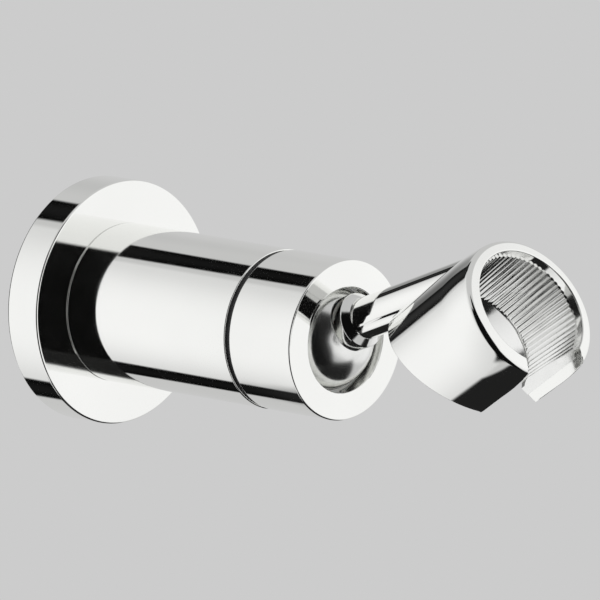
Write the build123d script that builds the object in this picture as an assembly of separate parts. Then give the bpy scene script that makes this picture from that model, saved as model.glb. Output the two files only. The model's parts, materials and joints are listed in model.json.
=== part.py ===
from build123d import *
import math
import os

# Hand shower holder: wall flange, barrel, collar, ball joint, stem and slotted cup.
# Millimetres. The wall is the plane Y = 0, the barrel points along -Y, and Z is up.
# "Distance" below means distance from the wall along the barrel's axis.

# Wall plate that is screwed to the wall
plate_thickness = 3.2
plate_edge = 1.2
screw_spacing = 25.0
screw_hole_radius = 2.3
screw_head_radius = 3.8
boss_radius = 7.0
boss_tail = 6.0

# Wall flange and its gasket
flange_radius = 23.0
flange_thickness = 7.4
flange_front_wall = 2.2
flange_rim_wall = 2.5
flange_edge_round = 0.4
gasket_thickness = 0.6
gasket_width = 1.8
gasket_inset = 0.5

# Ball joint
ball_radius = 10.2
ball_depth = 6.7
ball_retention = 0.3
ball_clearance = 0.05
neck_radius = 5.2
neck_height = 2.1
neck_edge = 0.3
tilt_angle = 21.9

# Barrel
barrel_length = 41.2
barrel_edge = 0.25
spigot_wall = 1.7
spigot_setback = 2.3
foot_wall = 3.4
foot_length = 2.8

# Collar and seam groove
groove_width = 1.2
groove_depth = 0.6
collar_length = 15.6
collar_wall = 2.55
collar_thread_wall = 1.85
collar_front_wall = 3.2
collar_edge = 0.35
collar_hole_edge = 0.25
thread_runout = 0.8

# Seats, washer and springs behind the ball
front_seat_wall = 2.15
front_seat_setback = 0.2
rear_seat_setback = 3.3
rear_seat_web = 1.55
rear_seat_hole_radius = 4.0
washer_thickness = 1.0
spring_inner_radius = 5.6
spring_thickness = 0.8
spring_height = 1.25
spring_count = 4

# Rubber ring in the barrel's shoulder
o_ring_radius = 12.8
o_ring_section = 0.75
o_ring_squeeze = 0.15

# Set screw under the barrel
grub_radius = 2.0
grub_distance_from_flange = 6.0
grub_recess = 0.8
grub_tip_radius = 0.4
grub_groove_depth = 0.8
grub_groove_half_width = 1.3
grub_socket_across_flats = 2.0
grub_socket_depth = 2.5

# Stem
stem_radius = 3.9
stem_reach = 52.15
stem_sink = 5.4
shank_radius = 2.5
shank_length = 9.3
shank_end_gap = 1.0

# Cup
cup_radius = 14.65
mouth_draw_in = 0.55
foot_draw_in = 0.45
cup_shoulder_depth = 8.0
cup_length = 21.3
cup_lean = 12.8
cup_bottom_slant = 23.5
mouth_overhang = 0.45
mouth_edge_round = 1.2
rim_width = 2.4
rim_fall = 0.6
rim_lip_width = 1.05
rim_lip_depth = 2.0
slot_width = 14.3
slot_corner_round = 1.0

# Ribbed insert in the cup
insert_wall = 1.4
insert_foot_wall = 1.65
insert_taper = 3.2
rib_count = 72
rib_height = 0.35
rib_end_depth = 15.0
rib_run_out = 1.1

# Clearances between pieces that fit
slide_clearance = 0.05
thread_clearance = 0.05
spring_clearance = 0.15
insert_clearance = 0.03

# Radii that follow from the ball and the walls round it
seat_sphere_radius = ball_radius + ball_clearance
front_seat_radius = seat_sphere_radius + front_seat_wall
collar_seat_bore = front_seat_radius + slide_clearance
barrel_radius = collar_seat_bore + collar_wall
collar_thread_bore = barrel_radius - collar_thread_wall
spigot_radius = collar_thread_bore - thread_clearance
pocket_radius = spigot_radius - spigot_wall
hole_radius = ball_radius - ball_retention
boss_bore = boss_radius + slide_clearance
foot_radius = boss_bore + foot_wall
flange_hole_radius = foot_radius + slide_clearance
flange_cavity_radius = flange_radius - flange_rim_wall
plate_radius = screw_spacing / 2 + screw_head_radius + plate_edge

# Distances from the wall that follow from the lengths
flange_face = gasket_thickness + flange_thickness
flange_ceiling = flange_face - flange_front_wall
groove_start = flange_face + barrel_length
collar_start = groove_start + groove_width
collar_face = collar_start + collar_length
ball_distance = collar_face - ball_depth
front_seat_front = collar_face - collar_front_wall
front_seat_rear = ball_distance + front_seat_setback
spigot_end = ball_distance - spigot_setback
thread_end = spigot_end + thread_runout
rear_seat_front = ball_distance - rear_seat_setback
rear_seat_rear = ball_distance - seat_sphere_radius - rear_seat_web
washer_rear = rear_seat_rear - washer_thickness
pocket_floor = washer_rear - spring_count * spring_height
grub_distance = flange_face + grub_distance_from_flange
boss_end = grub_distance + boss_tail
foot_end = flange_face - foot_length

# Places along the stem, measured from the ball's centre
neck_face = ball_radius + neck_height
cup_drop = (cup_radius - stem_sink) * math.cos(math.radians(cup_lean))
cup_reach = stem_reach + cup_drop * math.tan(math.radians(cup_lean))

# Cup radii and heights, measured from its axis and its mouth
mouth_radius = cup_radius - mouth_draw_in
cup_foot_radius = cup_radius - foot_draw_in
lip_radius = mouth_radius - rim_width
shell_bore = lip_radius + rim_lip_width
cup_long_side = cup_length + cup_radius * math.tan(math.radians(cup_bottom_slant))


def ball_frame():
    """Place of the ball's centre, with Z along the stem and Y towards the stem's upper side."""
    tilt = math.radians(tilt_angle)
    stem_direction = (0, -math.cos(tilt), math.sin(tilt))
    return Plane(origin=(0, -ball_distance, 0), x_dir=(1, 0, 0), z_dir=stem_direction).location


def cup_frame():
    """Place of the cup's mouth, with Z out of the mouth and Y towards the stem."""
    lean = math.radians(cup_lean)
    cup_direction = (0, math.sin(lean), math.cos(lean))
    above_stem = Plane(origin=(0, -cup_drop, cup_reach), x_dir=(1, 0, 0), z_dir=cup_direction)
    return ball_frame() * above_stem.location * Pos(0, 0, mouth_overhang)


def turned(outline):
    """Solid turned about the barrel's axis from (radius, distance from the wall) corners."""
    corners = [(radius, -distance) for radius, distance in outline]
    return revolve(make_face(Polyline(*corners, close=True)), Axis.Y)


def turned_about_z(outline):
    """Solid turned about Z from (radius, height) corners."""
    corners = [(radius, 0, height) for radius, height in outline]
    return revolve(make_face(Polyline(*corners, close=True)), Axis.Z)


def seat_sphere():
    """The ball's space in its seats."""
    return Pos(0, -ball_distance, 0) * Sphere(seat_sphere_radius)


def wall_plate():
    """Disc with two countersunk screw holes and a boss with a groove for the set screw."""
    groove_bottom = boss_radius - grub_groove_depth
    body = turned([
        (0, 0),
        (plate_radius, 0),
        (plate_radius, plate_thickness),
        (boss_radius, plate_thickness),
        (boss_radius, grub_distance - grub_groove_half_width),
        (groove_bottom, grub_distance - grub_groove_half_width),
        (groove_bottom, grub_distance + grub_groove_half_width),
        (boss_radius, grub_distance + grub_groove_half_width),
        (boss_radius, boss_end),
        (0, boss_end),
    ])
    sink_start = plate_thickness - (screw_head_radius - screw_hole_radius)
    screw_path = turned([
        (0, 0),
        (screw_hole_radius, 0),
        (screw_hole_radius, sink_start),
        (screw_head_radius, plate_thickness),
        (0, plate_thickness),
    ])
    for side in (-1, 1):
        body -= Pos(side * screw_spacing / 2, 0, 0) * screw_path
    return body


def flange():
    """Thick round flange with a hollow back and a hole for the barrel's foot."""
    body = turned([
        (flange_cavity_radius, gasket_thickness),
        (flange_radius, gasket_thickness),
        (flange_radius, flange_face),
        (flange_hole_radius, flange_face),
        (flange_hole_radius, flange_ceiling),
        (flange_cavity_radius, flange_ceiling),
    ])
    outer_edges = [e for e in body.edges().filter_by(GeomType.CIRCLE) if e.radius > flange_cavity_radius]
    front_edges = [e for e in outer_edges if e.radius > flange_radius - flange_rim_wall / 2]
    front_edge = min(front_edges, key=lambda e: e.arc_center.Y)
    return fillet(front_edge, flange_edge_round)


def flange_gasket():
    """Flat rubber ring between the flange's rim and the wall."""
    outer = flange_radius - gasket_inset
    return turned([
        (outer - gasket_width, 0),
        (outer, 0),
        (outer, gasket_thickness),
        (outer - gasket_width, gasket_thickness),
    ])


def barrel():
    """Hollow body with a foot through the flange, a spring pocket and a threaded spigot."""
    body = turned([
        (boss_bore, foot_end),
        (foot_radius, foot_end),
        (foot_radius, flange_face),
        (barrel_radius - barrel_edge, flange_face),
        (barrel_radius, flange_face + barrel_edge),
        (barrel_radius, groove_start - barrel_edge),
        (barrel_radius - barrel_edge, groove_start),
        (spigot_radius, groove_start),
        (spigot_radius, spigot_end),
        (pocket_radius, spigot_end),
        (pocket_radius, pocket_floor),
        (boss_bore, pocket_floor),
    ])
    o_ring_groove = turned([
        (o_ring_radius - o_ring_section, flange_face),
        (o_ring_radius + o_ring_section, flange_face),
        (o_ring_radius + o_ring_section, flange_face + 2 * o_ring_section - o_ring_squeeze),
        (o_ring_radius - o_ring_section, flange_face + 2 * o_ring_section - o_ring_squeeze),
    ])
    screw_hole = Pos(0, -grub_distance, 0) * Cylinder(
        grub_radius, barrel_radius, align=(Align.CENTER, Align.CENTER, Align.MAX)
    )
    return body - o_ring_groove - screw_hole


def shoulder_o_ring():
    """Rubber ring, pressed flat between the barrel's shoulder and the flange."""
    flat = o_ring_squeeze / 2
    centre = flange_face + o_ring_section - flat
    ring = Pos(0, -centre, 0) * Rot(90, 0, 0) * Torus(o_ring_radius, o_ring_section)
    keep = turned([
        (o_ring_radius - 2 * o_ring_section, flange_face),
        (o_ring_radius + 2 * o_ring_section, flange_face),
        (o_ring_radius + 2 * o_ring_section, flange_face + 2 * (o_ring_section - flat)),
        (o_ring_radius - 2 * o_ring_section, flange_face + 2 * (o_ring_section - flat)),
    ])
    return ring & keep


def grub_screw():
    """Set screw with a cone point in the boss's groove and a hexagon socket."""
    length_tip = boss_radius - grub_groove_depth + slide_clearance
    length_end = barrel_radius - grub_recess
    radius = grub_radius - thread_clearance
    cone_end = length_tip + radius - grub_tip_radius
    body = turned_about_z([
        (0, -length_tip),
        (grub_tip_radius, -length_tip),
        (radius, -cone_end),
        (radius, -length_end),
        (0, -length_end),
    ])
    hexagon = RegularPolygon(grub_socket_across_flats / 2, 6, major_radius=False)
    socket = Pos(0, 0, -length_end) * extrude(hexagon, grub_socket_depth)
    return Pos(0, -grub_distance, 0) * (body - socket)


def groove_ring():
    """Dark ring that fills the seam groove to below the surface."""
    return turned([
        (collar_thread_bore, groove_start),
        (barrel_radius - groove_depth, groove_start),
        (barrel_radius - groove_depth, collar_start),
        (collar_thread_bore, collar_start),
    ])


def collar():
    """Front ring nut that holds the ball and its front seat."""
    return turned([
        (collar_thread_bore, collar_start),
        (barrel_radius - barrel_edge, collar_start),
        (barrel_radius, collar_start + barrel_edge),
        (barrel_radius, collar_face - collar_edge),
        (barrel_radius - collar_edge, collar_face),
        (hole_radius + collar_hole_edge, collar_face),
        (hole_radius, collar_face - collar_hole_edge),
        (hole_radius, front_seat_front),
        (collar_seat_bore, front_seat_front),
        (collar_seat_bore, thread_end),
        (collar_thread_bore, thread_end),
    ])


def front_seat_ring():
    """Plastic ring between the ball and the collar's front wall."""
    inner = hole_radius / 2
    ring = turned([
        (inner, front_seat_rear),
        (front_seat_radius, front_seat_rear),
        (front_seat_radius, front_seat_front),
        (inner, front_seat_front),
    ])
    return ring - seat_sphere()


def rear_seat():
    """Plastic cup behind the ball."""
    outer = pocket_radius - slide_clearance
    block = turned([
        (rear_seat_hole_radius, rear_seat_rear),
        (outer, rear_seat_rear),
        (outer, rear_seat_front),
        (rear_seat_hole_radius, rear_seat_front),
    ])
    return block - seat_sphere()


def thrust_washer():
    """Steel washer between the springs and the rear seat."""
    outer = pocket_radius - spring_clearance
    return turned([
        (spring_inner_radius, washer_rear),
        (outer, washer_rear),
        (outer, rear_seat_rear),
        (spring_inner_radius, rear_seat_rear),
    ])


def disc_springs():
    """Conical spring washers, stacked with every second one turned round."""
    outer = pocket_radius - spring_clearance
    discs = []
    for index in range(spring_count):
        start = pocket_floor + index * spring_height
        end = start + spring_height
        first, last = (outer, spring_inner_radius) if index % 2 == 0 else (spring_inner_radius, outer)
        discs.append(turned([
            (first, start),
            (first, start + spring_thickness),
            (last, end),
            (last, end - spring_thickness),
        ]))
    return Compound(children=discs)


def ball():
    """Ball with its neck ring and the threaded hole for the stem's shank."""
    neck = turned_about_z([
        (0, 0),
        (neck_radius, 0),
        (neck_radius, neck_face - neck_edge),
        (neck_radius - neck_edge, neck_face),
        (0, neck_face),
    ])
    hole_bottom = neck_face - shank_length - shank_end_gap
    hole = turned_about_z([
        (0, hole_bottom),
        (shank_radius + thread_clearance, hole_bottom),
        (shank_radius + thread_clearance, neck_face),
        (0, neck_face),
    ])
    return ball_frame() * (Sphere(ball_radius) + neck - hole)


def lower_end_cutter(depth, slant):
    """Everything under a slanted lower end, at a depth below the mouth, in the cup's own frame."""
    size = 6 * (cup_radius + cup_length)
    block = Box(size, size, size, align=(Align.CENTER, Align.CENTER, Align.MAX))
    return Pos(0, 0, -depth) * Rot(-slant, 0, 0) * block


def slot_cutter():
    """The slot opposite the stem, from the cup's axis out and over its whole height."""
    height = 4 * cup_long_side
    return Box(slot_width, 2 * cup_radius, height, align=(Align.CENTER, Align.MAX, Align.CENTER))


def slotted(body):
    """A body of the cup with its slanted lower end and its slot, rounded where the two meet."""
    body = body - lower_end_cutter(cup_length, cup_bottom_slant) - slot_cutter()
    lower_edges = [e for e in body.edges().filter_by(GeomType.LINE) if e.center().Z < -cup_length / 3]
    slot_edges = [e for e in lower_edges if abs(abs(e.center().X) - slot_width / 2) < 0.01]
    corners = [e for e in slot_edges if abs(e.tangent_at(0.5).X) < 0.01 and abs(e.tangent_at(0.5).Y) > 0.5]
    return fillet(corners, slot_corner_round)


def cup_blank(inside):
    """Solid between the cup's tapered, curved-in outside and (radius, height) corners from mouth to foot."""
    foot = (cup_foot_radius, 0, -cup_long_side)
    shoulder = (cup_radius, 0, -cup_shoulder_depth)
    mouth = (mouth_radius, 0, -rim_fall)
    side = Line(foot, shoulder)
    shoulder_arc = TangentArc(shoulder, mouth, tangent=side % 1)
    corners = [(radius, 0, height) for radius, height in inside]
    return revolve(make_face([side, shoulder_arc, Polyline(mouth, *corners, foot)]), Axis.Z)


def cup_envelope():
    """The cup's outside as a full body that runs on above the mouth, in the cup's own frame."""
    body = cup_blank([
        (mouth_radius, cup_length),
        (0, cup_length),
        (0, -cup_long_side),
    ])
    return body - lower_end_cutter(cup_length, cup_bottom_slant)


def stem():
    """Bar with a threaded shank in the ball and an end fitted to the cup's side and lower rim."""
    body = turned_about_z([
        (0, neck_face - shank_length),
        (shank_radius, neck_face - shank_length),
        (shank_radius, neck_face),
        (stem_radius, neck_face),
        (stem_radius, stem_reach),
        (0, stem_reach),
    ])
    return ball_frame() * body - cup_frame() * cup_envelope()


def cup():
    """C-shaped tapered shell with a sloping rim, a lip, a slot and a slanted lower end."""
    body = cup_blank([
        (lip_radius, 0),
        (lip_radius, -rim_lip_depth),
        (shell_bore, -rim_lip_depth),
        (shell_bore, -cup_long_side),
    ])
    round_edges = body.edges().filter_by(GeomType.CIRCLE)
    outer_edges = [e for e in round_edges if e.radius > shell_bore + insert_clearance]
    mouth_edge = max(outer_edges, key=lambda e: e.arc_center.Z)
    body = fillet(mouth_edge, mouth_edge_round)
    return cup_frame() * slotted(body)


def rib_outline(tip_radius, height):
    """Closed zigzag of rib tips and valleys round the insert's bore at one height."""
    points = []
    for index in range(2 * rib_count):
        radius = tip_radius if index % 2 == 0 else tip_radius + rib_height
        angle = math.pi * index / rib_count
        points.append((radius * math.cos(angle), radius * math.sin(angle), height))
    return make_face(Polyline(*points, close=True))


def cup_insert():
    """Sleeve with a tapered, finely ribbed bore that is plain near the foot, slotted as the cup is."""
    outer = shell_bore - insert_clearance
    top = -rim_lip_depth
    bottom = -cup_long_side
    top_tip = outer - insert_wall
    narrowing = math.tan(math.radians(insert_taper))
    bottom_tip = top_tip - (top - bottom) * narrowing
    foot_bore = outer - insert_foot_wall
    run_out_start = rib_end_depth - rib_run_out
    sleeve = Pos(0, 0, top) * Cylinder(outer, top - bottom, align=(Align.CENTER, Align.CENTER, Align.MAX))
    bore = loft([rib_outline(bottom_tip, bottom), rib_outline(top_tip, top)], ruled=True)
    below_ribs = turned_about_z([
        (0, -run_out_start),
        (top_tip - (run_out_start - rim_lip_depth) * narrowing, -run_out_start),
        (foot_bore, -rib_end_depth),
        (foot_bore, 2 * bottom),
        (0, 2 * bottom),
    ])
    return cup_frame() * slotted(sleeve - bore - below_ribs)


pieces = {
    "wall_plate": wall_plate(),
    "flange_gasket": flange_gasket(),
    "flange": flange(),
    "shoulder_o_ring": shoulder_o_ring(),
    "barrel": barrel(),
    "grub_screw": grub_screw(),
    "groove_ring": groove_ring(),
    "collar": collar(),
    "front_seat_ring": front_seat_ring(),
    "rear_seat": rear_seat(),
    "thrust_washer": thrust_washer(),
    "disc_springs": disc_springs(),
    "ball": ball(),
    "stem": stem(),
    "cup": cup(),
    "cup_insert": cup_insert(),
}

os.makedirs("parts", exist_ok=True)
for name, piece in pieces.items():
    export_step(piece, f"parts/{name}.step")
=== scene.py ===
import bpy
import json
import math
from mathutils import Matrix, Quaternion, Vector


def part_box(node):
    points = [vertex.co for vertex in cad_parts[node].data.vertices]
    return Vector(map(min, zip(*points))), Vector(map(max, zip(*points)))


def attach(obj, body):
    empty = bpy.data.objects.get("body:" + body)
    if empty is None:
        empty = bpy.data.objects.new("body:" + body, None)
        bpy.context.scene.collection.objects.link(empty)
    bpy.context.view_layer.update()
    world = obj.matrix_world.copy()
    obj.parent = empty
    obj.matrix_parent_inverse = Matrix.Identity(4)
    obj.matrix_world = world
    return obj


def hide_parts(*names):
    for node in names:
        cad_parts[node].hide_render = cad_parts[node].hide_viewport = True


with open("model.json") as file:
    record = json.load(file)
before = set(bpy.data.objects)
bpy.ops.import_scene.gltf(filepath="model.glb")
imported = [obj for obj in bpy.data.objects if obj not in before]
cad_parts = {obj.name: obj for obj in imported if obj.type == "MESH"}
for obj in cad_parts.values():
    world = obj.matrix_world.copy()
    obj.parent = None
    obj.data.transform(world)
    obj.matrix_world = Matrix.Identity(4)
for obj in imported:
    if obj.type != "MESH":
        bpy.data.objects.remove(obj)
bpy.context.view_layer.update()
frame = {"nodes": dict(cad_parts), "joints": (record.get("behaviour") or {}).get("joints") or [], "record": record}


# Wall plate
# A disc turned from bare brass with a boss for the barrel, screwed to the wall by two
# countersunk screws. It is left unplated, because the flange covers it.
def new_finish(name):
    """Material with a Principled shader, and its nodes and links."""
    material = bpy.data.materials.new(name)
    material.use_nodes = True
    nodes = material.node_tree.nodes
    return material, nodes, material.node_tree.links, nodes["Principled BSDF"]


def noise(nodes, links, scale, detail, stretch=(1, 1, 1)):
    """Noise in the piece's own space; scale is in cells per metre."""
    coordinates = nodes.new("ShaderNodeTexCoord")
    mapping = nodes.new("ShaderNodeMapping")
    mapping.inputs["Scale"].default_value = stretch
    texture = nodes.new("ShaderNodeTexNoise")
    texture.inputs["Scale"].default_value = scale
    texture.inputs["Detail"].default_value = detail
    links.new(coordinates.outputs["Object"], mapping.inputs["Vector"])
    links.new(mapping.outputs["Vector"], texture.inputs["Vector"])
    return texture.outputs["Fac"]


noise_low = 0.3
noise_high = 0.7


def vary_roughness(nodes, links, shader, pattern, smooth, rough):
    """Roughness between two values that follows a pattern."""
    spread = nodes.new("ShaderNodeMapRange")
    spread.inputs["From Min"].default_value = noise_low
    spread.inputs["From Max"].default_value = noise_high
    spread.inputs["To Min"].default_value = smooth
    spread.inputs["To Max"].default_value = rough
    links.new(pattern, spread.inputs["Value"])
    links.new(spread.outputs["Result"], shader.inputs["Roughness"])


def vary_colour(nodes, links, shader, pattern, first, second):
    """Base colour between two colours that follows a pattern."""
    ramp = nodes.new("ShaderNodeValToRGB")
    ramp.color_ramp.elements[0].position = noise_low
    ramp.color_ramp.elements[0].color = (*first, 1)
    ramp.color_ramp.elements[1].position = noise_high
    ramp.color_ramp.elements[1].color = (*second, 1)
    links.new(pattern, ramp.inputs["Fac"])
    links.new(ramp.outputs["Color"], shader.inputs["Base Color"])


def add_bump(nodes, links, shader, pattern, strength, height):
    """Bump of a height in metres that follows a pattern."""
    bump = nodes.new("ShaderNodeBump")
    bump.inputs["Strength"].default_value = strength
    bump.inputs["Distance"].default_value = height
    links.new(pattern, bump.inputs["Height"])
    links.new(bump.outputs["Normal"], shader.inputs["Normal"])


def turned_brass():
    """Bare brass with fine turning rings and a dull, uneven skin."""
    material, nodes, links, shader = new_finish("turned_brass")
    shader.inputs["Metallic"].default_value = 1.0
    stain = noise(nodes, links, scale=180, detail=4)
    vary_colour(nodes, links, shader, stain, first=(0.60, 0.45, 0.20), second=(0.78, 0.62, 0.33))
    skin = noise(nodes, links, scale=900, detail=3)
    vary_roughness(nodes, links, shader, skin, smooth=0.24, rough=0.42)
    coordinates = nodes.new("ShaderNodeTexCoord")
    rings = nodes.new("ShaderNodeTexWave")
    rings.wave_type = "RINGS"
    rings.rings_direction = "Y"
    rings.inputs["Scale"].default_value = 700
    rings.inputs["Distortion"].default_value = 0.6
    links.new(coordinates.outputs["Object"], rings.inputs["Vector"])
    add_bump(nodes, links, shader, rings.outputs["Fac"], strength=0.35, height=0.00004)
    return material


def finish_node(name, material):
    """Gives a CAD node that keeps its own mesh a better finish."""
    node = frame["nodes"][name]
    node.data.materials.clear()
    node.data.materials.append(material)


finish_node("wall_plate", turned_brass())


# Flange gasket
# A flat ring cut from black rubber sheet. The flange squeezes it against the tiles, so no
# water runs behind it.
def black_rubber():
    """Matt black rubber with a fine pitted skin and a grey bloom."""
    material, nodes, links, shader = new_finish("black_rubber_skin")
    bloom = noise(nodes, links, scale=300, detail=5)
    vary_colour(nodes, links, shader, bloom, first=(0.012, 0.012, 0.013), second=(0.035, 0.035, 0.036))
    skin = noise(nodes, links, scale=1200, detail=3)
    vary_roughness(nodes, links, shader, skin, smooth=0.5, rough=0.75)
    pits = noise(nodes, links, scale=2500, detail=4)
    add_bump(nodes, links, shader, pits, strength=0.4, height=0.00005)
    return material


rubber = black_rubber()
finish_node("flange_gasket", rubber)


# Flange
# A thick disc turned from brass with a hollow back, polished and chrome plated. The
# barrel's shoulder clamps it against the gasket.
def polished_chrome():
    """Bright chrome plate over polished brass, with a faint haze and polishing waves."""
    material, nodes, links, shader = new_finish("polished_chrome_plate")
    shader.inputs["Metallic"].default_value = 1.0
    tone = noise(nodes, links, scale=40, detail=2)
    vary_colour(nodes, links, shader, tone, first=(0.875, 0.878, 0.86), second=(0.915, 0.918, 0.90))
    haze = noise(nodes, links, scale=220, detail=5)
    vary_roughness(nodes, links, shader, haze, smooth=0.035, rough=0.075)
    waves = noise(nodes, links, scale=90, detail=2)
    add_bump(nodes, links, shader, waves, strength=0.02, height=0.0002)
    return material


def rounded(corners, segments=6):
    """Closed outline through (radius, height, rounding) corners in millimetres, rounded by arcs."""
    support = 0.06
    points = []
    for index, (radius, height, rounding) in enumerate(corners):
        corner = Vector((radius, height))
        if rounding == 0:
            points.append(corner)
            continue
        before = (Vector(corners[index - 1][:2]) - corner).normalized()
        after = (Vector(corners[(index + 1) % len(corners)][:2]) - corner).normalized()
        half = before.angle(after) / 2
        reach = rounding / math.tan(half)
        centre = corner + (before + after).normalized() * rounding / math.sin(half)
        start = corner + before * reach - centre
        sweep = start.angle_signed(corner + after * reach - centre)
        points.append(corner + before * (reach + support))
        for step in range(segments + 1):
            points.append(centre + Matrix.Rotation(-sweep * step / segments, 2) @ start)
        points.append(corner + after * (reach + support))
    return points + [points[0]]


def place(origin, axis):
    """Frame with its Z along an axis and its X along the holder's X."""
    z = Vector(axis).normalized()
    x = Vector((1, 0, 0))
    turned = Matrix((x, z.cross(x), z)).transposed().to_4x4()
    return Matrix.Translation(origin) @ turned


def settle(body, where, material):
    """Puts a piece made about the origin in its place for good, smooths it and gives it its finish."""
    body.matrix_world = where
    bpy.ops.object.select_all(action="DESELECT")
    body.select_set(True)
    bpy.context.view_layer.objects.active = body
    bpy.ops.object.transform_apply(location=True, rotation=True, scale=True)
    sharp_from = math.radians(25)
    bpy.ops.object.shade_smooth_by_angle(angle=sharp_from)
    bpy.ops.object.modifier_add(type="WEIGHTED_NORMAL")
    body.modifiers[-1].keep_sharp = True
    bpy.ops.object.modifier_apply(modifier=body.modifiers[-1].name)
    body.data.materials.clear()
    body.data.materials.append(material)


def turn_on_lathe(name, outline, steps=240):
    """Body turned about Z from (radius, height) outline points in millimetres."""
    points = [Vector((radius, 0, height)) / 1000 for radius, height in outline]
    bpy.ops.object.select_all(action="DESELECT")
    bpy.ops.mesh.primitive_plane_add(size=0.001)
    body = bpy.context.object
    body.name = name
    bpy.ops.object.mode_set(mode="EDIT")
    bpy.ops.mesh.select_mode(type="VERT")
    bpy.ops.mesh.merge(type="CENTER")
    bpy.ops.transform.translate(value=points[0])
    for start, end in zip(points, points[1:]):
        bpy.ops.mesh.extrude_vertices_move(TRANSFORM_OT_translate={"value": end - start})
    bpy.ops.mesh.select_all(action="SELECT")
    bpy.ops.mesh.remove_doubles(threshold=1e-7)
    bpy.ops.mesh.spin(steps=steps, angle=math.tau, center=(0, 0, 0), axis=(0, 0, 1))
    bpy.ops.mesh.select_all(action="SELECT")
    bpy.ops.mesh.remove_doubles(threshold=1e-6)
    bpy.ops.mesh.normals_make_consistent(inside=False)
    bpy.ops.object.mode_set(mode="OBJECT")
    return body


def hand_over(body, rides_on, node):
    """Lets a finished piece ride on its body in place of its CAD node."""
    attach(body, rides_on)
    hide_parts(node)


chrome = polished_chrome()
barrel_place = place((0, 0, 0), (0, -1, 0))
flange_back = -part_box("flange")[1].y * 1000
flange_face = -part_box("flange")[0].y * 1000
flange_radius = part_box("flange")[1].x * 1000
flange_rim_wall = 2.5
flange_front_wall = 2.2
flange_hole_radius = 10.5
flange_face_round = 0.4
flange_back_round = 0.08
flange_hollow_round = 0.6
flange_mouth_round = 0.2
flange_hole_round = 0.1
flange_hollow_radius = flange_radius - flange_rim_wall
flange_hollow_floor = flange_face - flange_front_wall
flange = turn_on_lathe("flange_disc", rounded([
    (flange_hollow_radius, flange_back, flange_mouth_round),
    (flange_radius, flange_back, flange_back_round),
    (flange_radius, flange_face, flange_face_round),
    (flange_hole_radius, flange_face, flange_hole_round),
    (flange_hole_radius, flange_hollow_floor, flange_hole_round),
    (flange_hollow_radius, flange_hollow_floor, flange_hollow_round),
]))
settle(flange, barrel_place, chrome)
hand_over(flange, "base", "flange")


# Shoulder ring
# A moulded ring of black rubber between the barrel's shoulder and the flange. The barrel
# presses it tight, and it keeps water out.
finish_node("shoulder_o_ring", rubber)


# Barrel
# A brass body turned from bar, chrome plated outside. Its foot goes through the flange,
# it slides on the wall plate's boss, and the set screw underneath holds it.
def cut_away(body, cutter):
    """Takes a cutter's volume out of a body and deletes the cutter."""
    bpy.ops.object.select_all(action="DESELECT")
    bpy.context.view_layer.objects.active = body
    bpy.ops.object.modifier_add(type="BOOLEAN")
    modifier = body.modifiers[-1]
    modifier.operation = "DIFFERENCE"
    modifier.solver = "EXACT"
    modifier.object = cutter
    bpy.ops.object.modifier_apply(modifier=modifier.name)
    bpy.data.objects.remove(cutter)


barrel_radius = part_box("barrel")[1].x * 1000
barrel_end = -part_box("groove_ring")[1].y * 1000
spigot_end = -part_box("barrel")[0].y * 1000
foot_end = -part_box("barrel")[1].y * 1000
grub_distance = -(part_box("grub_screw")[0].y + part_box("grub_screw")[1].y) * 500
boss_bore = 7.05
foot_radius = 10.45
spigot_radius = 13.1
pocket_radius = 11.4
pocket_floor = -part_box("disc_springs")[1].y * 1000
grub_hole_radius = 2.0
grub_hole_rows = 1.5 * grub_hole_radius
barrel_edge_round = 0.25
pocket_edge_round = 0.2
foot_edge_round = 0.1
barrel = turn_on_lathe("barrel_body", rounded([
    (boss_bore, foot_end, foot_edge_round),
    (foot_radius, foot_end, foot_edge_round),
    (foot_radius, flange_face, 0),
    (barrel_radius, flange_face, barrel_edge_round),
    (barrel_radius, grub_distance - grub_hole_rows, 0),
    (barrel_radius, grub_distance + grub_hole_rows, 0),
    (barrel_radius, barrel_end, barrel_edge_round),
    (spigot_radius, barrel_end, 0),
    (spigot_radius, spigot_end, pocket_edge_round),
    (pocket_radius, spigot_end, pocket_edge_round),
    (pocket_radius, pocket_floor, pocket_edge_round),
    (boss_bore, pocket_floor, pocket_edge_round),
]))
bpy.ops.object.select_all(action="DESELECT")
bpy.ops.mesh.primitive_cylinder_add(
    vertices=64, radius=grub_hole_radius / 1000, depth=barrel_radius / 1000,
    location=(0, -barrel_radius / 2000, grub_distance / 1000), rotation=(math.radians(90), 0, 0),
)
cut_away(barrel, bpy.context.object)
settle(barrel, barrel_place, chrome)
hand_over(barrel, "base", "barrel")


# Set screw
# A small screw of hardened steel with a hexagon socket and a cone point, blackened by its
# heat treatment. It sits in the barrel's underside and bites into the plate's boss.
def ground_steel(name, dark, light):
    """Hardened steel with grinding marks and a thin film of oil."""
    material, nodes, links, shader = new_finish(name)
    shader.inputs["Metallic"].default_value = 1.0
    oil = noise(nodes, links, scale=500, detail=4)
    vary_colour(nodes, links, shader, oil, first=dark, second=light)
    sheen = noise(nodes, links, scale=700, detail=3, stretch=(1, 6, 1))
    vary_roughness(nodes, links, shader, sheen, smooth=0.22, rough=0.45)
    marks = noise(nodes, links, scale=1500, detail=2, stretch=(1, 5, 1))
    add_bump(nodes, links, shader, marks, strength=0.2, height=0.00003)
    return material


black_steel = ground_steel("blackened_steel", dark=(0.06, 0.06, 0.065), light=(0.16, 0.16, 0.17))
finish_node("grub_screw", black_steel)


# Groove ring
# A ring of black rubber slid over the barrel's spigot. It fills the bottom of the seam
# between the barrel and the collar.
finish_node("groove_ring", rubber)


# Springs and washer
# Four disc springs pressed from hardened steel, and a ground steel washer. They lie loose
# in the barrel and press the rear seat on the ball.
spring_steel = ground_steel("spring_steel", dark=(0.42, 0.43, 0.45), light=(0.62, 0.63, 0.65))
finish_node("disc_springs", spring_steel)
finish_node("thrust_washer", spring_steel)


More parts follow.
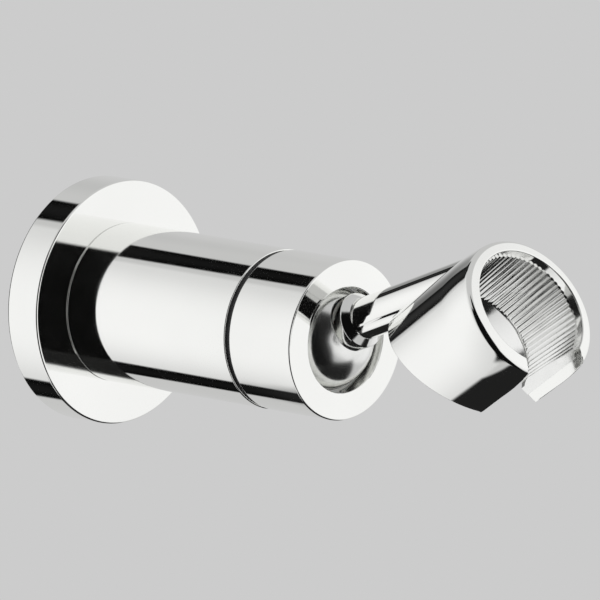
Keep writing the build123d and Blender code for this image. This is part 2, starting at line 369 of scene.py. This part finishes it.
# Seats
# Two rings moulded from white acetal and hollowed to the ball. The collar and the springs
# hold them, and the ball turns between them.
def white_acetal():
    """Slightly translucent white plastic with a soft moulded skin."""
    material, nodes, links, shader = new_finish("white_acetal")
    shader.inputs["Subsurface Weight"].default_value = 0.15
    shader.inputs["Subsurface Radius"].default_value = (0.0008, 0.0007, 0.0006)
    tone = noise(nodes, links, scale=120, detail=3)
    vary_colour(nodes, links, shader, tone, first=(0.82, 0.82, 0.80), second=(0.90, 0.90, 0.88))
    skin = noise(nodes, links, scale=800, detail=3)
    vary_roughness(nodes, links, shader, skin, smooth=0.3, rough=0.48)
    grain = noise(nodes, links, scale=1600, detail=3)
    add_bump(nodes, links, shader, grain, strength=0.15, height=0.00003)
    return material


acetal = white_acetal()
finish_node("rear_seat", acetal)
finish_node("front_seat_ring", acetal)


# Ball
# A brass ball with a conical neck, turned in one piece, polished and chrome plated. The
# stem screws into the threaded hole in its neck, and the seats rub the ball satin.
def rubbed_chrome(centre, rubbed_radius):
    """Chrome plate that is satin inside a radius about a centre in metres and bright outside it."""
    material, nodes, links, shader = new_finish("rubbed_chrome")
    shader.inputs["Metallic"].default_value = 1.0
    tone = noise(nodes, links, scale=260, detail=4)
    vary_colour(nodes, links, shader, tone, first=(0.80, 0.803, 0.79), second=(0.88, 0.883, 0.87))
    coordinates = nodes.new("ShaderNodeTexCoord")
    reach = nodes.new("ShaderNodeVectorMath")
    reach.operation = "DISTANCE"
    reach.inputs[1].default_value = centre
    links.new(coordinates.outputs["Object"], reach.inputs[0])
    border = 0.0004
    satin_roughness = 0.21
    bright_roughness = 0.06
    satin = nodes.new("ShaderNodeMapRange")
    satin.inputs["From Min"].default_value = rubbed_radius
    satin.inputs["From Max"].default_value = rubbed_radius + border
    satin.inputs["To Min"].default_value = satin_roughness
    satin.inputs["To Max"].default_value = bright_roughness
    links.new(reach.outputs["Value"], satin.inputs["Value"])
    links.new(satin.outputs["Result"], shader.inputs["Roughness"])
    scuffs = noise(nodes, links, scale=900, detail=3)
    add_bump(nodes, links, shader, scuffs, strength=0.05, height=0.00005)
    return material


joints = {joint["name"]: joint for joint in frame["joints"]}
ball_centre = Vector(joints["spin"]["pos_m"])
stem_axis = Vector(joints["spin"]["axis"])
ball_place = place(ball_centre, stem_axis)
ball_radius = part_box("ball")[1].x * 1000
neck_radius = 5.2
neck_face = ball_radius + 2.1
stem_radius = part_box("stem")[1].x * 1000
stem_socket = 0.5
socket_gap = 0.02
cone_edge = 0.1
shank_radius = 2.5
shank_clearance = 0.05
shank_length = 9.3
shank_gap = 1.0
neck_root = math.asin(neck_radius / ball_radius)
ball_outline = []
ball_rows = 90
for row in range(ball_rows + 1):
    angle = math.pi - (math.pi - neck_root) * row / ball_rows
    ball_outline.append((ball_radius * math.sin(angle), ball_radius * math.cos(angle)))
cone_top = neck_face + stem_socket
cone_foot = cone_top - (neck_radius - stem_radius)
hole_floor = neck_face - shank_length - shank_gap
ball_outline += [
    (neck_radius, cone_foot - 1.6 * cone_edge),
    (neck_radius, cone_foot - cone_edge),
    (neck_radius - 0.3 * cone_edge, cone_foot),
    (neck_radius - cone_edge, cone_foot + cone_edge),
    (neck_radius - 1.4 * cone_edge, cone_foot + 1.4 * cone_edge),
    (stem_radius + 2 * socket_gap, cone_top - 2 * socket_gap),
    (stem_radius + socket_gap, cone_top - 2 * socket_gap),
    (stem_radius + socket_gap, neck_face),
    (shank_radius + shank_clearance, neck_face),
    (shank_radius + shank_clearance, hole_floor),
    (0, hole_floor),
]
ball = turn_on_lathe("ball_and_neck", ball_outline)
rubbed_past_ball = 0.05
settle(ball, ball_place, rubbed_chrome(ball_centre, (ball_radius + rubbed_past_ball) / 1000))
hand_over(ball, "joint_ball", "ball")


# Collar
# A ring nut turned from brass and chrome plated. It screws on the barrel's spigot and
# holds the ball and its seats.
collar_start = -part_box("collar")[1].y * 1000
collar_face = -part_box("collar")[0].y * 1000
seat_front = -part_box("front_seat_ring")[0].y * 1000
seat_bore = 12.45
thread_bore = 13.15
thread_run_out = 0.8
thread_end = spigot_end + thread_run_out
hole_overlap = 0.3
hole_radius = ball_radius - hole_overlap
collar_face_round = 0.35
hole_face_round = 0.25
hole_seat_round = 0.1
collar = turn_on_lathe("collar_nut", rounded([
    (thread_bore, collar_start, 0),
    (barrel_radius, collar_start, barrel_edge_round),
    (barrel_radius, collar_face, collar_face_round),
    (hole_radius, collar_face, hole_face_round),
    (hole_radius, seat_front, hole_seat_round),
    (seat_bore, seat_front, 0),
    (seat_bore, thread_end, 0),
    (thread_bore, thread_end, 0),
]))
settle(collar, barrel_place, chrome)
hand_over(collar, "base", "collar")


# Cup
# A tapered brass shell with a rounded mouth, a lip, a slot for the hose and a slanted
# lower end, brazed to the stem and then polished and chrome plated with it.
mounts = {mount["name"]: mount for mount in frame["record"]["mounts"]}
mouth_centre = Vector(mounts["hose_cone_seat"]["pos_m"])
cup_axis = Vector(mounts["hose_cone_seat"]["axis"])
cup_place = place(mouth_centre, cup_axis)
lip_radius = mounts["hose_cone_seat"]["dims"]["r_mm"]
cup_length = mounts["hose_cone_seat"]["dims"]["length_mm"]
cup_radius = 14.65
mouth_draw_in = 0.55
foot_draw_in = 0.45
cup_shoulder_depth = 8.0
cup_bottom_slant = 23.5
rim_fall = 0.6
mouth_edge_round = 1.2
lip_depth = 2.0
lip_width = 1.05
shell_bore = lip_radius + lip_width
slot_width = 14.3
slot_corner_round = 1.0
lip_edge_round = 0.25
shell_edge_round = 0.2
tolerance = 0.002
slot_margin = 0.5
bore_margin = 0.1
mouth_radius = cup_radius - mouth_draw_in
cup_long_side = cup_length + cup_radius * math.tan(math.radians(cup_bottom_slant))


def cup_outside(arc_rows=6):
    """Outside of the cup as (radius, height) points: a straight taper, then an arc to the mouth."""
    foot = Vector((cup_radius - foot_draw_in, -cup_long_side))
    shoulder = Vector((cup_radius, -cup_shoulder_depth))
    along = (shoulder - foot).normalized()
    inward = Vector((-along.y, along.x))
    chord = Vector((mouth_radius, -rim_fall)) - shoulder
    arc_radius = chord.length_squared / (2 * chord.dot(inward))
    sweep = 2 * along.angle(chord)
    points = [foot]
    for row in range(arc_rows):
        turn = sweep * row / arc_rows
        forward = along * arc_radius * math.sin(turn)
        points.append(shoulder + forward + inward * arc_radius * (1 - math.cos(turn)))
    return points


def lower_end_block(depth, slant):
    """Block under a slanted lower end, a depth in millimetres below the mouth."""
    size = 0.2
    bpy.ops.object.select_all(action="DESELECT")
    bpy.ops.mesh.primitive_cube_add(size=size, location=(0, 0, -size / 2))
    block = bpy.context.object
    bpy.ops.object.transform_apply(location=True)
    tilted = Matrix.Rotation(math.radians(-slant), 4, "X")
    block.matrix_world = Matrix.Translation((0, 0, -depth / 1000)) @ tilted
    return block


def slot_block():
    """Block that cuts the slot opposite the stem, over the cup's whole height."""
    height = 4 * cup_long_side / 1000
    depth = 2 * cup_radius / 1000
    bpy.ops.object.select_all(action="DESELECT")
    bpy.ops.mesh.primitive_cube_add(
        size=1, location=(0, -depth / 2, 0), scale=(slot_width / 1000, depth, height),
    )
    return bpy.context.object


def on_slot(point):
    """Whether a point in metres lies on one of the slot's two faces."""
    on_face = abs(abs(point.x) * 1000 - slot_width / 2) < tolerance
    return on_face and point.y * 1000 < slot_margin


def on_foot(point):
    """Whether a point in metres lies on the cup's slanted lower end."""
    height = -cup_length - point.y * 1000 * math.tan(math.radians(cup_bottom_slant))
    return abs(point.z * 1000 - height) < tolerance


def on_slot_corner(point):
    """Whether a point in metres lies where the slot meets the lower end."""
    return on_slot(point) and on_foot(point)


def on_shell_edge(point):
    """Whether a point in metres lies on the slot or the lower end, outside the shell's bore."""
    outside = point.xy.length * 1000 > shell_bore + bore_margin
    return outside and (on_slot(point) or on_foot(point))


def round_edges(body, chosen, width, segments):
    """Rounds the sharp edges whose two ends both pass a test."""
    sharp_from = math.radians(35)
    mesh = body.data
    normals = {}
    for polygon in mesh.polygons:
        for key in polygon.edge_keys:
            normals.setdefault(key, []).append(polygon.normal.copy())
    bpy.ops.object.select_all(action="DESELECT")
    bpy.context.view_layer.objects.active = body
    bpy.ops.object.mode_set(mode="EDIT")
    bpy.ops.mesh.select_mode(type="EDGE")
    bpy.ops.mesh.select_all(action="DESELECT")
    bpy.ops.object.mode_set(mode="OBJECT")
    for edge in mesh.edges:
        pair = normals[edge.key]
        sharp = len(pair) == 2 and pair[0].angle(pair[1], 0) > sharp_from
        edge.select = sharp and all(chosen(mesh.vertices[end].co) for end in edge.vertices)
    bpy.ops.object.mode_set(mode="EDIT")
    bpy.ops.mesh.bevel(offset=width / 1000, segments=segments, affect="EDGES", clamp_overlap=False)
    bpy.ops.object.mode_set(mode="OBJECT")


cup = turn_on_lathe("cup_shell", rounded([
    (shell_bore, -cup_long_side, 0),
    *[(radius, height, 0) for radius, height in cup_outside()],
    (mouth_radius, -rim_fall, mouth_edge_round),
    (lip_radius, 0, lip_edge_round),
    (lip_radius, -lip_depth, 0),
    (shell_bore, -lip_depth, 0),
], segments=8))
cut_away(cup, lower_end_block(cup_length, cup_bottom_slant))
cut_away(cup, slot_block())
round_edges(cup, on_slot_corner, slot_corner_round, segments=6)
round_edges(cup, on_shell_edge, shell_edge_round, segments=5)
settle(cup, cup_place, chrome)
hand_over(cup, "holder", "cup")


# Stem
# A plain brass bar, chrome plated. Its shank screws into the ball and its other end is
# fitted to the cup's side and lower rim, where it is brazed.
stem_reach = 52.15
shank_chamfer = 0.3
shank_end = neck_face - shank_length
stem = turn_on_lathe("stem_bar", [
    (0, shank_end),
    (shank_radius - shank_chamfer, shank_end),
    (shank_radius, shank_end + shank_chamfer),
    (shank_radius, neck_face),
    (stem_radius, neck_face),
    (stem_radius, stem_reach),
    (0, stem_reach),
], steps=128)
settle(stem, ball_place, chrome)
envelope = turn_on_lathe("cup_outside", [
    (0, -cup_long_side),
    *cup_outside(),
    (mouth_radius, -rim_fall),
    (mouth_radius, cup_length),
    (0, cup_length),
])
cut_away(envelope, lower_end_block(cup_length, cup_bottom_slant))
settle(envelope, cup_place, chrome)
cut_away(stem, envelope)
settle(stem, Matrix.Identity(4), chrome)
hand_over(stem, "holder", "stem")


# Ribbed insert
# A tapered sleeve moulded in plastic with fine ribs along its bore, chrome plated, pressed
# into the cup under its lip. The ribs grip the cone of the hose.
def plated_plastic():
    """Chrome on moulded plastic, a little duller than on polished brass."""
    material, nodes, links, shader = new_finish("plated_plastic")
    shader.inputs["Metallic"].default_value = 1.0
    tone = noise(nodes, links, scale=150, detail=3)
    vary_colour(nodes, links, shader, tone, first=(0.81, 0.812, 0.80), second=(0.865, 0.868, 0.855))
    haze = noise(nodes, links, scale=600, detail=4)
    vary_roughness(nodes, links, shader, haze, smooth=0.1, rough=0.2)
    grain = noise(nodes, links, scale=1200, detail=2)
    add_bump(nodes, links, shader, grain, strength=0.06, height=0.00004)
    return material


rib_count = 72
rib_height = 0.35
rib_end_depth = 14.6
rib_end_round = 3.0
rib_end_rows = 6
points_per_rib = 6
insert_wall = 1.4
insert_foot_wall = 1.4
insert_taper = 3.2
insert_clearance = 0.005
insert_outer = shell_bore - insert_clearance
insert_bore = insert_outer - insert_wall
insert_foot_bore = insert_bore - (cup_long_side - lip_depth) * math.tan(math.radians(insert_taper))
corner_angle = math.tau / (rib_count * points_per_rib)


def on_rib_bore(point):
    """Whether a point in metres lies on the insert's bore."""
    return point.xy.length * 1000 < insert_outer - bore_margin


def rib_corner(point):
    """Which corner of its rib a point lies on, counted round the bore."""
    return round(math.atan2(point.y, point.x) / corner_angle) % points_per_rib


def select_vertices(body, chosen):
    """Selects the vertices of a body whose place passes a test, in edit mode."""
    bpy.ops.object.select_all(action="DESELECT")
    bpy.context.view_layer.objects.active = body
    bpy.ops.object.mode_set(mode="EDIT")
    bpy.ops.mesh.select_mode(type="VERT")
    bpy.ops.mesh.select_all(action="DESELECT")
    bpy.ops.object.mode_set(mode="OBJECT")
    for vertex in body.data.vertices:
        vertex.select = chosen(vertex.co)
    bpy.ops.object.mode_set(mode="EDIT")


insert = turn_on_lathe("ribbed_insert", [
    (insert_outer, -lip_depth),
    (insert_bore, -lip_depth),
    (insert_foot_bore, -cup_long_side),
    (insert_outer, -cup_long_side),
    (insert_outer, -lip_depth),
], steps=rib_count * points_per_rib)
for corner in range(points_per_rib):
    valley = 1 - abs(math.sin(math.pi * corner / points_per_rib))
    widen = 1 + rib_height * valley / insert_bore
    select_vertices(insert, lambda point: on_rib_bore(point) and rib_corner(point) == corner)
    bpy.ops.transform.resize(value=(widen, widen, 1), center_override=(0, 0, 0))
    bpy.ops.object.mode_set(mode="OBJECT")
rib_end_bore = insert_bore - (rib_end_depth - lip_depth) * math.tan(math.radians(insert_taper))
smooth_bore = insert_outer - insert_foot_wall
rib_end_sweep = math.acos(1 - (smooth_bore - rib_end_bore) / rib_end_round)
rib_end_arc = []
for row in range(rib_end_rows + 1):
    turn = rib_end_sweep * row / rib_end_rows
    rib_end_arc.append((
        rib_end_bore + rib_end_round * (1 - math.cos(turn)),
        -rib_end_depth - rib_end_round * math.sin(turn),
    ))
foot_bore = turn_on_lathe("foot_bore", [
    (0, -rib_end_depth),
    *rib_end_arc,
    (smooth_bore, -2 * cup_long_side),
    (0, -2 * cup_long_side),
], steps=rib_count * points_per_rib)
cut_away(insert, slot_block())
cut_away(insert, lower_end_block(cup_length, cup_bottom_slant))
cut_away(insert, foot_bore)
round_edges(insert, on_slot_corner, slot_corner_round, segments=6)
settle(insert, cup_place, plated_plastic())
hand_over(insert, "holder", "cup_insert")


# Studio
# A pale floor well under the holder, and soft white panels and black flags as are put round
# bright metal. The panels light the holder, the flags show only in its reflections, and the
# camera sees neither.
background = 0.604
world = bpy.data.worlds.new("studio_air")
bpy.context.scene.world = world
world.use_nodes = True
air = world.node_tree.nodes["Background"]
air.inputs["Color"].default_value = (background, background, background, 1)
air.inputs["Strength"].default_value = 1.0


def direction(azimuth, elevation):
    """Unit vector; azimuth 0 points along -Y and 90 along +X."""
    a = math.radians(azimuth)
    e = math.radians(elevation)
    return Vector((math.sin(a) * math.cos(e), -math.cos(a) * math.cos(e), math.sin(e)))


def falling(nodes, links, value, start, end):
    """Smooth fall from 1 to 0 while a value goes from a start to an end."""
    fall = nodes.new("ShaderNodeMapRange")
    fall.interpolation_type = "SMOOTHSTEP"
    fall.inputs["From Min"].default_value = start
    fall.inputs["From Max"].default_value = end
    fall.inputs["To Min"].default_value = 1.0
    fall.inputs["To Max"].default_value = 0.0
    links.new(value, fall.inputs["Value"])
    return fall.outputs["Result"]


def product(nodes, links, values):
    """Two values multiplied."""
    times = nodes.new("ShaderNodeMath")
    times.operation = "MULTIPLY"
    links.new(values[0], times.inputs[0])
    links.new(values[1], times.inputs[1])
    return times.outputs[0]


def card_material(name, middle, edge, softness):
    """Glow that falls from the middle to the edge and fades out at the border."""
    border = 0.5
    flat_middle = 0.05
    material = bpy.data.materials.new(name)
    material.use_nodes = True
    nodes = material.node_tree.nodes
    links = material.node_tree.links
    nodes.clear()
    coordinates = nodes.new("ShaderNodeTexCoord")
    split = nodes.new("ShaderNodeSeparateXYZ")
    links.new(coordinates.outputs["UV"], split.inputs["Vector"])
    fades = []
    falls = []
    for side in ("X", "Y"):
        centred = nodes.new("ShaderNodeMath")
        centred.operation = "SUBTRACT"
        centred.inputs[1].default_value = border
        links.new(split.outputs[side], centred.inputs[0])
        away = nodes.new("ShaderNodeMath")
        away.operation = "ABSOLUTE"
        links.new(centred.outputs[0], away.inputs[0])
        fades.append(falling(nodes, links, away.outputs[0], border - softness, border))
        falls.append(falling(nodes, links, away.outputs[0], flat_middle, border))
    level = nodes.new("ShaderNodeMapRange")
    level.inputs["To Min"].default_value = edge
    level.inputs["To Max"].default_value = middle
    links.new(product(nodes, links, falls), level.inputs["Value"])
    glow = nodes.new("ShaderNodeEmission")
    links.new(level.outputs["Result"], glow.inputs["Strength"])
    clear = nodes.new("ShaderNodeBsdfTransparent")
    mix = nodes.new("ShaderNodeMixShader")
    links.new(product(nodes, links, fades), mix.inputs["Fac"])
    links.new(clear.outputs[0], mix.inputs[1])
    links.new(glow.outputs[0], mix.inputs[2])
    out = nodes.new("ShaderNodeOutputMaterial")
    links.new(mix.outputs[0], out.inputs["Surface"])
    return material


studio_centre = Vector((0, -0.06, 0))


def card(name, azimuths, elevations, distance, middle, edge, softness=0.1, roll=0, shift=(0, 0, 0),
         dark=False):
    """Flat card that covers a range of azimuths and elevations as seen from the holder."""
    azimuth = sum(azimuths) / 2
    elevation = sum(elevations) / 2
    width = 2 * distance * math.tan(math.radians(azimuths[1] - azimuths[0]) / 2)
    height = 2 * distance * math.tan(math.radians(elevations[1] - elevations[0]) / 2)
    towards = direction(azimuth, elevation)
    bpy.ops.object.select_all(action="DESELECT")
    bpy.ops.mesh.primitive_plane_add(size=1)
    plane = bpy.context.object
    plane.name = name
    plane.scale = (width, height, 1)
    turned = towards.to_track_quat("Z", "Y") @ Quaternion((0, 0, 1), math.radians(roll))
    plane.rotation_euler = turned.to_euler()
    plane.location = studio_centre + towards * distance + Vector(shift)
    plane.data.materials.append(card_material(name, middle, edge, softness))
    plane.visible_camera = False
    plane.visible_shadow = False
    if dark:
        plane.visible_diffuse = False
        plane.visible_transmission = False


black_cloth = 0.004
black_paint = 0.015
grey_board = 0.15
card("left_panel", (-172, -88), (-68, 52), distance=0.7, middle=1.0, edge=0.75)
card("front_panel", (-28, 104), (-44, 62), distance=0.7, middle=1.02, edge=0.9)
card("back_flag", (165, 191), (-54, 56), distance=0.5, middle=0.03, edge=0.0, softness=0.12, dark=True)
card("back_shade", (138, 194), (-30, 40), distance=0.6, middle=grey_board, edge=grey_board,
     softness=0.45, dark=True)
card("camera_flag", (-86, -24), (-58, 46), distance=0.6, middle=black_cloth, edge=black_cloth,
     softness=0.07, dark=True)
card("high_flag", (-58, -12), (4, 62), distance=0.62, middle=black_cloth, edge=black_cloth,
     softness=0.08, roll=-25, dark=True)
card("low_flag", (-74, -18), (-62, -8), distance=0.58, middle=black_cloth, edge=black_cloth, dark=True)
card("heel_light", (-148, -130), (-72, -40), distance=0.45, middle=1.0, edge=0.9, softness=0.12)
card("floor_flag", (-36, 36), (-136, -44), distance=0.5, middle=black_paint, edge=black_paint,
     softness=0.06, shift=(0.11, -0.02, 0), dark=True)

floor_depth = 0.3
floor_radius = 1.0
floor_fade_start = 0.35
floor_fade_end = 0.95
bpy.ops.object.select_all(action="DESELECT")
bpy.ops.mesh.primitive_circle_add(
    vertices=96, radius=floor_radius, fill_type="NGON", location=(0, 0, -floor_depth),
)
floor = bpy.context.object
floor.name = "floor"
floor_paint, floor_nodes, floor_links, floor_shader = new_finish("pale_floor")
floor_shader.inputs["Base Color"].default_value = (0.72, 0.72, 0.72, 1)
floor_shader.inputs["Roughness"].default_value = 0.8
floor_coordinates = floor_nodes.new("ShaderNodeTexCoord")
floor_length = floor_nodes.new("ShaderNodeVectorMath")
floor_length.operation = "LENGTH"
floor_links.new(floor_coordinates.outputs["Object"], floor_length.inputs[0])
floor_edge = falling(
    floor_nodes, floor_links, floor_length.outputs["Value"], floor_fade_start, floor_fade_end,
)
floor_links.new(floor_edge, floor_shader.inputs["Alpha"])
floor.data.materials.append(floor_paint)
floor.visible_glossy = False


# Camera
# The photograph is taken from the holder's left and a little above, from so far away that
# its lines stay nearly parallel.
camera_azimuth = -45.65
camera_elevation = 10.03
camera_distance = 2.955
image_pixels = 600
pixels_per_metre = 5330
aim_right = 0.03872
aim_up = -0.000575
back = direction(camera_azimuth, camera_elevation)
right = Vector((math.cos(math.radians(camera_azimuth)), math.sin(math.radians(camera_azimuth)), 0))
up = back.cross(right)
bpy.ops.object.camera_add(location=right * aim_right + up * aim_up + back * camera_distance)
camera = bpy.context.object
camera.rotation_euler = Matrix((right, up, back)).transposed().to_euler()
sensor_width = 36
camera.data.sensor_width = sensor_width
camera.data.lens = sensor_width * pixels_per_metre * camera_distance / image_pixels
camera.data.clip_end = 20
bpy.context.scene.camera = camera
bpy.context.scene.view_settings.view_transform = "Standard"
